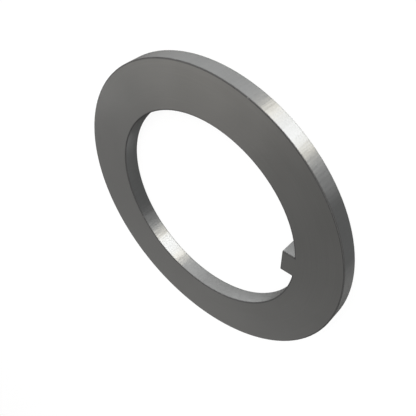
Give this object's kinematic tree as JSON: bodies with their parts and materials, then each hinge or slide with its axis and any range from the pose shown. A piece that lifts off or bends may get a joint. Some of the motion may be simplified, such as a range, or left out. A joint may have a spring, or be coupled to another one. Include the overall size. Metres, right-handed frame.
{
  "type": "lock washer",
  "caption": "Flat round steel lock washer with a square key tab inside its bore that rides in a spindle's keyway and stops it turning.",
  "frame": {"origin": "on the ring's axis at the bottom face, with the washer lying flat", "axes": "+Z along the axis, out of the top face; +X from the axis towards the key tab"},
  "size_m": [0.059, 0.059, 0.0032],
  "materials": {
    "ground_steel": "ground faces, punched walls with fine upright lines, darker broken edges, satin"
  },
  "bodies": {
    "root": {"lock_washer": "ground_steel"}
  },
  "joints": []
}
